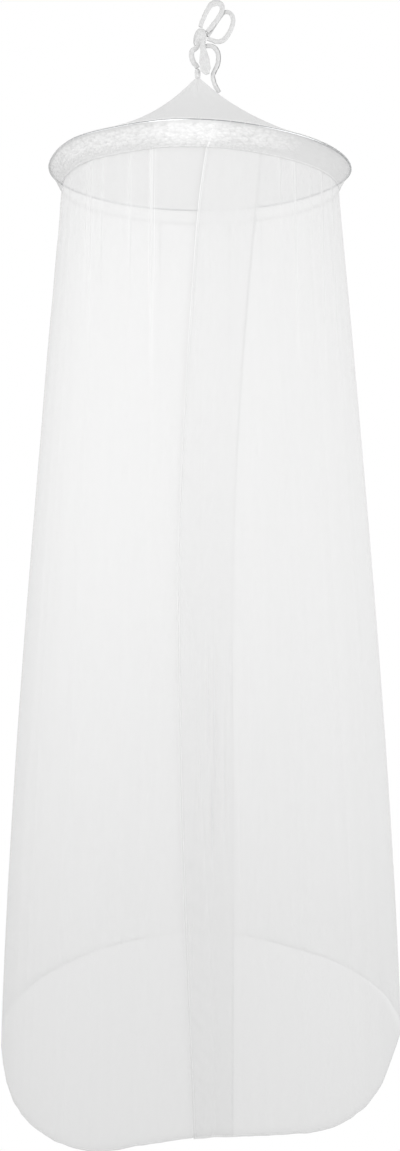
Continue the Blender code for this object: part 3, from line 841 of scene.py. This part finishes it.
# %% Tree: round wire along a path
wire_tree, given, result = geometry_tree("wire_along_path", (
    ("Radius", "NodeSocketFloat", ROD_RADIUS), ("Sides", "NodeSocketInt", 16),
    ("Finish", "NodeSocketMaterial", None)))
section = wire_tree.nodes.new("GeometryNodeCurvePrimitiveCircle")
sweep = wire_tree.nodes.new("GeometryNodeCurveToMesh")
wire_tree.links.new(given.outputs["Radius"], section.inputs["Radius"])
wire_tree.links.new(given.outputs["Sides"], section.inputs["Resolution"])
wire_tree.links.new(given.outputs["Path"], sweep.inputs["Curve"])
wire_tree.links.new(section.outputs[0], sweep.inputs["Profile Curve"])
sweep.inputs["Fill Caps"].default_value = True
finish_tree(wire_tree, given, result, sweep.outputs[0])
print("wire tree:", len(wire_tree.nodes), "nodes")

# %% Tree: stitches along a path
stitch_tree, given, result = geometry_tree("stitches_along_path", (
    ("Spacing", "NodeSocketFloat", 0.004), ("Length", "NodeSocketFloat", 0.003),
    ("Thread", "NodeSocketFloat", 0.0006), ("Finish", "NodeSocketMaterial", None)))
spread = stitch_tree.nodes.new("GeometryNodeResampleCurve")
spread.mode = "LENGTH"
bead = stitch_tree.nodes.new("GeometryNodeMeshUVSphere")
bead.inputs["Segments"].default_value = 6
bead.inputs["Rings"].default_value = 5
bead.inputs["Radius"].default_value = 0.5
along = stitch_tree.nodes.new("GeometryNodeInputTangent")
turn = stitch_tree.nodes.new("FunctionNodeAlignRotationToVector")
turn.axis = "X"
size = stitch_tree.nodes.new("ShaderNodeCombineXYZ")
place = stitch_tree.nodes.new("GeometryNodeInstanceOnPoints")
stitch_tree.links.new(given.outputs["Path"], spread.inputs["Curve"])
stitch_tree.links.new(given.outputs["Spacing"], spread.inputs["Length"])
stitch_tree.links.new(along.outputs[0], turn.inputs["Vector"])
stitch_tree.links.new(given.outputs["Length"], size.inputs["X"])
stitch_tree.links.new(given.outputs["Thread"], size.inputs["Y"])
stitch_tree.links.new(given.outputs["Thread"], size.inputs["Z"])
stitch_tree.links.new(spread.outputs[0], place.inputs["Points"])
stitch_tree.links.new(bead.outputs["Mesh"], place.inputs["Instance"])
stitch_tree.links.new(turn.outputs[0], place.inputs["Rotation"])
stitch_tree.links.new(size.outputs[0], place.inputs["Scale"])
finish_tree(stitch_tree, given, result, place.outputs[0])
print("stitch tree:", len(stitch_tree.nodes), "nodes")

# %% [markdown]
# ## The hoop
#
# The hoop is a length of bright drawn steel wire joined into a ring.  It is polished, so it shows mostly its
# surroundings: bright where it faces a lamp, grey where it faces the dim room.  A fine noise in its bump
# stands for the draw marks, and a coarse one makes its gloss a little uneven.

# %% Hoop
finish, tree, output = new_material("bright_steel_finish")
place = node(tree, "ShaderNodeTexCoord")
spot = place.outputs["Object"]
marks = node(tree, "ShaderNodeTexNoise", Scale=900.0, Detail=2.0, links=[("Vector", spot)])
cloud = node(tree, "ShaderNodeTexNoise", Scale=26.0, Detail=2.0, links=[("Vector", spot)])
rough = node(tree, "ShaderNodeMapRange", From_Min=0.3, From_Max=0.7, To_Min=0.10, To_Max=0.22,
             links=[("Value", cloud.outputs["Fac"])])
bump = node(tree, "ShaderNodeBump", Strength=0.10, Distance=0.0002, links=[("Height", marks.outputs["Fac"])])
steel = node(tree, "ShaderNodeBsdfPrincipled", Base_Color=(0.66, 0.67, 0.68, 1), Metallic=1.0,
             links=[("Roughness", rough.outputs[0]), ("Normal", bump.outputs[0])])
tree.links.new(steel.outputs[0], output.inputs["Surface"])
BRIGHT_STEEL = finish

HOOP_POINTS = 360
ring_azimuth = np.arange(HOOP_POINTS) * 360.0 / HOOP_POINTS
ring_points = on_net(ring_azimuth, HOOP_RADIUS, HOOP_Z + hoop_warp(ring_azimuth))
hoop = grown("steel_hoop", [(ring_points, True)], wire_tree,
             Radius=ROD_RADIUS, Sides=16, Finish=BRIGHT_STEEL)
print("hoop:", len(hoop.data.polygons), "faces")

# %% [markdown]
# ## The tie
#
# The tie is one soft tape, a little over 22 mm wide, folded along its length and tied in a bow.  Each strand
# is laid on its own route, the same few listed points as its solid in the model; only the left leg
# starts further up, inside the knot, so that no end shows.  Its cross-section is
# a tape of one width wrapped round a flat oval: where the strand is narrow the tape nearly closes into a
# tube, and where the tail spreads the tape opens into a shallow trough.

# %% Tape finish
finish, tree, output = new_material("tape_finish")
uv = node(tree, "ShaderNodeUVMap", uv_map="cloth")
split = node(tree, "ShaderNodeSeparateXYZ", links=[("Vector", uv.outputs[0])])
THREAD_TURNS = 2 * math.pi / 0.0007
ribs = maths(tree, "SINE", maths(tree, "MULTIPLY", split.outputs["X"], THREAD_TURNS))
picks = maths(tree, "SINE", maths(tree, "MULTIPLY", split.outputs["Y"], THREAD_TURNS))
weave = maths(tree, "MULTIPLY", ribs, picks)
place = node(tree, "ShaderNodeTexCoord")
crumple = node(tree, "ShaderNodeTexNoise", Scale=160.0, Detail=4.0,
               links=[("Vector", place.outputs["Object"])])
height = maths(tree, "ADD", maths(tree, "MULTIPLY", weave, 0.25), crumple.outputs["Fac"])
bump = node(tree, "ShaderNodeBump", Strength=0.35, Distance=0.0006, links=[("Height", height)])
# Painted shade: the tape's grey follows the crumples' height, darker in their hollows.
tint_with_painted_light = node(tree, "ShaderNodeMapRange", From_Min=0.25, From_Max=0.75, To_Min=0.66, To_Max=0.78,
            links=[("Value", crumple.outputs["Fac"])])
colour = node(tree, "ShaderNodeCombineColor",
              links=[("Red", tint_with_painted_light.outputs[0]), ("Green", tint_with_painted_light.outputs[0]), ("Blue", tint_with_painted_light.outputs[0])])
shader = node(tree, "ShaderNodeBsdfPrincipled", Roughness=0.9,
              links=[("Base Color", colour.outputs[0]), ("Normal", bump.outputs[0])])
tree.links.new(shader.outputs[0], output.inputs["Surface"])
TAPE = finish
print("finish:", TAPE.name)

# %% Tie routes
# columns, in millimetres from the hook point: right, back, up, width of the strand
HANGING_LOOP = (
    (-34.0, -1.5, -46.8, 8.6), (-32.4, -2.0, -40.5, 8.6), (-27.3, -2.5, -27.9, 9.0),
    (-18.6, -2.5, -9.6, 9.6), (-10.6, -1.5, 2.2, 11.5), (1.2, -0.5, 6.7, 13.0),
    (11.4, -1.5, 2.2, 11.0), (13.6, -3.0, -7.0, 10.0),
    (10.8, -3.5, -18.0, 9.6), (1.3, -3.5, -32.5, 9.4), (-8.7, -3.0, -45.4, 9.0), (-15.2, -2.4, -53.2, 8.6),
    (-19.4, -1.8, -58.0, 8.4),
)
BOW_LOOP = (
    (-19.0, 3.4, -64.4, 7.6), (-13.0, 4.4, -56.0, 7.8), (-4.2, 5.0, -41.0, 8.0), (7.6, 5.0, -23.4, 8.2),
    (16.8, 4.0, -13.0, 8.0), (27.0, 2.5, -13.0, 8.4), (34.2, 2.0, -19.4, 8.8), (37.2, 2.0, -29.5, 9.2),
    (35.4, 2.0, -41.5, 9.0), (30.3, 2.5, -54.3, 9.2), (22.2, 3.0, -67.6, 9.6), (12.0, 3.5, -75.2, 9.6),
    (0.6, 4.0, -76.2, 9.4), (-9.2, 3.5, -73.4, 8.6), (-18.6, 3.0, -70.4, 7.8),
)
LEG_LEFT = (
    (-38.0, -0.8, -83.0, 7.6), (-40.6, -1.0, -89.6, 8.2), (-45.4, -1.6, -94.4, 9.4),
    (-51.0, -2.0, -98.6, 10.4), (-53.6, -2.0, -106.0, 11.0), (-52.2, -2.0, -116.6, 11.0),
    (-48.0, -1.5, -126.0, 10.4), (-43.2, -0.8, -130.6, 9.8), (-40.8, 0.0, -135.6, 9.2),
)
LEG_RIGHT = (
    (-23.6, 0.5, -87.6, 7.6), (-12.4, 0.5, -87.0, 8.8), (-3.0, 0.5, -91.2, 9.6), (3.3, 0.5, -100.6, 10.0),
    (5.4, 0.5, -112.0, 10.0), (4.2, 0.5, -125.8, 9.8), (-1.4, 0.5, -138.8, 9.4), (-6.2, 0.5, -150.0, 9.2),
    (-5.6, 0.5, -161.8, 9.2), (-0.4, 0.5, -176.4, 9.2), (6.8, 0.5, -188.0, 8.6),
)
TAIL = (
    (-30.6, -10.6, -80.0, 8.6), (-29.6, -10.4, -90.0, 10.0), (-27.6, -10.4, -103.0, 14.0),
    (-26.0, -10.5, -113.0, 18.0), (-24.9, -11.0, -126.0, 23.0), (-23.4, -11.0, -137.5, 25.0),
    (-21.0, -10.5, -146.5, 17.0), (-17.6, -9.5, -152.6, 6.0),
)
print("strands: hanging loop, bow loop, left leg, right leg, tail")

# %% Strands of tape
TAPE_WIDTH = 22.5
TAPE_DEPTH = 4.4
TAPE_STEP = 1.3
SECTION_POINTS = 30
TAPE_CLOTH = 0.45


def smooth_route(table):
    """A smooth curve through a strand's rows, with a row every TAPE_STEP millimetres."""
    rows = np.array(table, dtype=float)
    route = []
    for i in range(len(rows) - 1):
        before, after = rows[max(i - 1, 0)], rows[min(i + 2, len(rows) - 1)]
        here, there = rows[i], rows[i + 1]
        steps = max(1, round(float(np.linalg.norm(there[:3] - here[:3])) / TAPE_STEP))
        for t in np.arange(steps) / steps:
            bend = 2 * before - 5 * here + 4 * there - after
            swing = 3 * here - before - 3 * there + after
            route.append(0.5 * (2 * here + (there - before) * t + bend * t**2 + swing * t**3))
    route.append(rows[-1])
    return np.array(route)


def tape_section(width, depth, opening):
    """A tape of one width laid round a flat oval, centred on opening degrees, as (across, through) in mm."""
    angle = np.radians(np.linspace(-168, 168, 241))
    across = 0.5 * width * np.sin(angle)
    through = -0.5 * depth * np.cos(angle)
    length = np.concatenate([[0], np.cumsum(np.hypot(np.diff(across), np.diff(through)))])
    length -= length[120]
    half = min(TAPE_WIDTH / 2, -length[0], length[-1])
    at = np.interp(np.linspace(-half, half, SECTION_POINTS), length, angle) + math.radians(opening)
    return 0.5 * width * np.sin(at), -0.5 * depth * np.cos(at)


def strand(name, table, opening, seed, creases=(3, 0.28), depth=TAPE_DEPTH):
    """One strand of tape, with creases along it and small crumples all over."""
    route = smooth_route(table)
    places = route[:, :3]
    ahead = np.gradient(places, axis=0)
    ahead /= np.linalg.norm(ahead, axis=1)[:, None]
    across = np.cross((0.0, 1.0, 0.0), ahead)
    across /= np.linalg.norm(across, axis=1)[:, None]
    through = np.cross(ahead, across)
    way = np.concatenate([[0], np.cumsum(np.linalg.norm(np.diff(places, axis=0), axis=1))])
    count, deep = creases
    rows = []
    for i in range(len(route)):
        side, back = tape_section(route[i, 3], depth, opening)
        t = np.linspace(-1, 1, SECTION_POINTS)
        fold = deep * np.cos(math.pi * count * t + 1.2 * math.sin(way[i] / 17.0 + seed))
        row = []
        for k in range(SECTION_POINTS):
            point = places[i] + across[i] * side[k] + through[i] * back[k]
            wrinkle = 0.55 * noise.noise(Vector(point) / 5.5 + Vector((seed, 0, 0)))
            wrinkle += 0.25 * noise.noise(Vector(point) / 2.2 + Vector((0, seed, 0)))
            outward = across[i] * side[k] / route[i, 3] + through[i] * back[k] / depth
            outward /= max(float(np.linalg.norm(outward)), 1e-6)
            row.append((point + outward * (fold[k] + wrinkle)) * MM)
        rows.append(row)
    made = sheet_object(name, rows, TAPE)
    thick = made.modifiers.new("cloth", "SOLIDIFY")
    thick.thickness = TAPE_CLOTH * MM
    thick.offset = -1.0
    return made, way[-1] * MM


hanging_loop, hanging_length = strand("tape_hanging_loop", HANGING_LOOP, 70, 1.0)
bow_loop, bow_length = strand("tape_bow_loop", BOW_LOOP, -60, 2.0)
leg_left, leg_left_length = strand("tape_leg_left", LEG_LEFT, 50, 3.0)
leg_right, leg_right_length = strand("tape_leg_right", LEG_RIGHT, 120, 4.0)
tail, tail_length = strand("tape_tail", TAIL, 0, 5.0, creases=(4, 0.5), depth=5.5)
print("tape lengths, mm:", [round(v * 1000) for v in
      (hanging_length, bow_length, leg_left_length, leg_right_length, tail_length)])

# %% [markdown]
# ## The knot
#
# The knot is the tape's own turns drawn tight, so from outside it is a bundle of narrow folds that run up
# and down, with one deep gap on its left where two turns part.  It is lofted through a few ovals; the folds
# are ridges with sharp valleys, cut into the oval by a formula of the direction round it.

# %% Knot
# columns, in millimetres: right, back, up, width, depth
KNOT = (
    (-33.0, 0.0, -50.8, 12.0, 8.0), (-33.2, 0.0, -55.5, 23.0, 13.0), (-34.4, 0.0, -66.0, 28.0, 15.5),
    (-35.8, 0.0, -77.0, 28.4, 15.0), (-36.8, 0.0, -84.5, 25.0, 12.5), (-37.2, 0.0, -88.6, 14.0, 8.0),
)
KNOT_AROUND = 150
KNOT_FOLDS = 9
KNOT_FOLD_DEPTH = 0.9
GAP_ANGLE = 205.0
GAP_DEPTH = 6.0
GAP_MIDDLE = -71.0
GAP_HALF = 14.0

knot_route = smooth_route(KNOT)
knot_rows = []
angles = np.linspace(0, 360, KNOT_AROUND, endpoint=False)
for right, back, up, width, depth in knot_route:
    twist = 14.0 * math.sin((up + 70.0) / 9.0)
    ridge = np.abs(np.sin(np.radians(KNOT_FOLDS * 0.5 * (angles + twist)))) ** 0.7
    uneven = 1.0 + 0.5 * np.sin(np.radians(2 * angles + 3 * up))
    gap_along = math.exp(-((up - GAP_MIDDLE) / GAP_HALF) ** 4)
    gap_round = np.exp(-((turned(angles - GAP_ANGLE, -180.0)) / 7.0) ** 2)
    inset = KNOT_FOLD_DEPTH * uneven * (1.0 - ridge) + GAP_DEPTH * gap_along * gap_round
    across = (0.5 * width - inset) * np.cos(np.radians(angles))
    through = (0.5 * depth - inset) * np.sin(np.radians(angles))
    knot_rows.append([((right + a) * MM, (back + b) * MM, up * MM) for a, b in zip(across, through)])
knot = sheet_object("tape_knot", knot_rows, TAPE, wrap=True)
closer = bmesh.new()
closer.from_mesh(knot.data)
bmesh.ops.holes_fill(closer, edges=[edge for edge in closer.edges if edge.is_boundary], sides=KNOT_AROUND)
bmesh.ops.recalc_face_normals(closer, faces=closer.faces)
closer.to_mesh(knot.data)
closer.free()
print("knot:", len(knot.data.polygons), "faces")

# %% [markdown]
# ## The bound tip
#
# The gathered tip of the crown is gripped by a cord of twisted thread wound round it in six turns, with the
# end of the left leg caught underneath.  A round wire along a short helix gives the turns, over a plug of
# gathered net.

# %% Binding
BINDING_HEIGHT = 0.0205
BINDING_RADIUS = 0.0054
BINDING_TURNS = 6
PLUG_ROWS = 24
PLUG_AROUND = 72
PLUG_INSIDE = 0.0009         # the plug lies this far inside the thread, on average
PLUG_WAIST = 0.0007          # is drawn in at two places
PLUG_GATHERS = 13
PLUG_GATHER_HEIGHT = 0.0003
PLUG_TOP = 0.3               # and closes to this share of its width on top
finish, tree, output = new_material("thread_finish")
place = node(tree, "ShaderNodeTexCoord")
strands = node(tree, "ShaderNodeTexWave", Scale=380.0, Distortion=1.0,
               links=[("Vector", place.outputs["Object"])])
bump = node(tree, "ShaderNodeBump", Strength=0.4, Distance=0.0002,
            links=[("Height", strands.outputs["Fac"])])
shader = node(tree, "ShaderNodeBsdfPrincipled", Base_Color=(0.88, 0.88, 0.88, 1), Roughness=0.7,
              links=[("Normal", bump.outputs[0])])
tree.links.new(shader.outputs[0], output.inputs["Surface"])
THREAD = finish

tip = Vector((AXIS_X + CROWN_LEAN, 0.0, HOOP_Z + CROWN_HEIGHT))
plug_rows = []
angle = np.radians(np.linspace(0, 360, PLUG_AROUND, endpoint=False))
for share in np.linspace(1, 0, PLUG_ROWS):
    z = np.full(PLUG_AROUND, tip.z + BINDING_HEIGHT * share)
    grip = BINDING_RADIUS - PLUG_INSIDE + PLUG_WAIST * math.cos(4 * math.pi * (share - 0.25))
    radius = grip + PLUG_GATHER_HEIGHT * np.sin(PLUG_GATHERS * angle + 4 * share)
    plug_rows.append(np.stack([tip.x + radius * np.sin(angle), -radius * np.cos(angle), z], axis=-1))
closed_in = plug_rows[0] * (PLUG_TOP, PLUG_TOP, 1) + np.array(((1 - PLUG_TOP) * tip.x, 0, 0))
plug_rows = [closed_in] + plug_rows
plug = sheet_object("binding_wrap", plug_rows, TAPE, wrap=True)
print("binding wrap:", len(plug.data.polygons), "faces")

# %% Binding: the wound turns
THREAD_RADIUS = 0.0009
WOUND_RADIUS = BINDING_RADIUS + 0.0001
WOUND_FROM = 0.12            # shares of the binding's height
WOUND_TO = 0.88
POINTS_A_TURN = 60
turns = np.linspace(0.0, 1.0, POINTS_A_TURN * BINDING_TURNS)
angle = 2 * math.pi * BINDING_TURNS * turns
height = BINDING_HEIGHT * (WOUND_FROM + (WOUND_TO - WOUND_FROM) * turns)
wound = np.stack([tip.x + WOUND_RADIUS * np.sin(angle), -WOUND_RADIUS * np.cos(angle), tip.z + height], axis=-1)
winding = grown("binding_thread", [(wound, False)], wire_tree,
                Radius=THREAD_RADIUS, Sides=10, Finish=THREAD)
print("winding:", len(winding.data.polygons), "faces")

# %% [markdown]
# ## Stitches
#
# Fine white thread holds every hem and seam.  They are hardly seen from a distance, yet close up they are
# what makes it a sewn thing: a line along the lower hem, one down each rolled front edge, one where the
# band covers the top of the panel, and whip stitches that go round the rod and hold crown and band to it.

# %% Stitches: paths on the cloth
panel_grid = np.array(panel_rows)
FRONT_TURNS = len(FRONT_HEM)
HEM_STITCH_IN = 0.0030
HEM_STITCH_UP = 0.0028
OUTSIDE = 0.0003
SEAM_UP = 0.0020             # the band's stitches lie this far above its lower edge
SEAM_OUT = 0.0008            # and this far outside it


def pushed_out(points, by):
    """Moves points away from the net's axis."""
    moved = np.array(points, dtype=float)
    away = moved[:, :2] - np.array((AXIS_X, 0.0))
    moved[:, :2] += by * away / np.linalg.norm(away, axis=1)[:, None]
    return moved


def front_line(edge, inner):
    """A line down the panel beside one front edge, HEM_STITCH_IN from it."""
    first, second = panel_grid[:PANEL_ROWS + 1, edge], panel_grid[:PANEL_ROWS + 1, inner]
    share = HEM_STITCH_IN / np.linalg.norm(second - first, axis=1)[:, None]
    return pushed_out(first + (second - first) * share, OUTSIDE)


def hem_line():
    last = panel_grid[PANEL_ROWS, FRONT_TURNS:-FRONT_TURNS]
    above = panel_grid[PANEL_ROWS - 1, FRONT_TURNS:-FRONT_TURNS]
    share = HEM_STITCH_UP / np.linalg.norm(above - last, axis=1)[:, None]
    return pushed_out(last + (above - last) * share, OUTSIDE)


hem_stitches = grown("hem_stitches", [
    (hem_line(), False), (front_line(FRONT_TURNS, FRONT_TURNS + 1), False),
    (front_line(-FRONT_TURNS - 1, -FRONT_TURNS - 2), False)], stitch_tree,
    Spacing=0.0042, Length=0.0030, Thread=0.0006, Finish=THREAD)
seam_z = HOOP_Z - band_top - BAND_DEPTH + SEAM_UP + hoop_warp(ring_azimuth)
seam_path = on_net(ring_azimuth, BAND_LOWER_RADIUS + SEAM_OUT, seam_z)
seam_stitches = grown("seam_stitches", [(seam_path, True)], stitch_tree,
                      Spacing=0.0046, Length=0.0034, Thread=0.0008, Finish=THREAD)
print("stitches:", len(hem_stitches.data.polygons), len(seam_stitches.data.polygons), "faces")

# %% Whip stitches round the rod
WHIP_EVERY = 5.0
WHIP_RADIUS = 0.0030
WHIP_THREAD = 0.0004
WHIP_POINTS = 14
WHIP_SLANT = 0.25            # degrees
WHIP_CENTRE = HOOP_RADIUS - 0.0008
WHIP_REACH = WHIP_RADIUS + 0.0003
round_rod = np.radians(np.linspace(0, 360, WHIP_POINTS, endpoint=False))
loops = []
for azimuth in np.arange(0.0, 360.0, WHIP_EVERY):
    height = HOOP_Z + float(hoop_warp(azimuth)) + WHIP_RADIUS * np.sin(round_rod)
    slanted = azimuth + WHIP_SLANT * np.sin(round_rod)
    loops.append((on_net(slanted, WHIP_CENTRE + WHIP_REACH * np.cos(round_rod), height), True))
whip_stitches = grown("whip_stitches", loops, wire_tree, Radius=WHIP_THREAD, Sides=6, Finish=THREAD)
print("whip stitches:", len(loops))

# %% [markdown]
# ## What stands for what
#
# Every new piece rides on the one body of the model, and the plain solid that it replaces is hidden; the
# table below lists that solid and the finish slot of each piece.

# %% Pieces, nodes and slots
# columns: piece, replaced node or None, slot
PIECES = (
    (net_panel, "drop_net", "drop_cloth"), (hem_stitches, None, "drop_cloth"),
    (crown, "crown_net", "crown_cloth"), (hoop, "hoop", "hoop_rod"),
    (band, "ruched_band", "band_cloth"), (seam_stitches, None, "band_cloth"),
    (whip_stitches, None, "band_cloth"), (hanging_loop, "hanging_loop", "tape"),
    (bow_loop, "bow_loop", "tape"), (leg_left, "tie_leg_left", "tape"),
    (leg_right, "tie_leg_right", "tape"), (tail, "tie_tail", "tape"), (knot, "tie_knot", "tape"),
    (plug, "apex_binding", "tape"), (winding, None, "tape"),
)
for piece, replaced, slot in PIECES:
    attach(piece, "root")
    if replaced:
        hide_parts(replaced)
print(len(PIECES), "pieces")

# %% End
print("done")
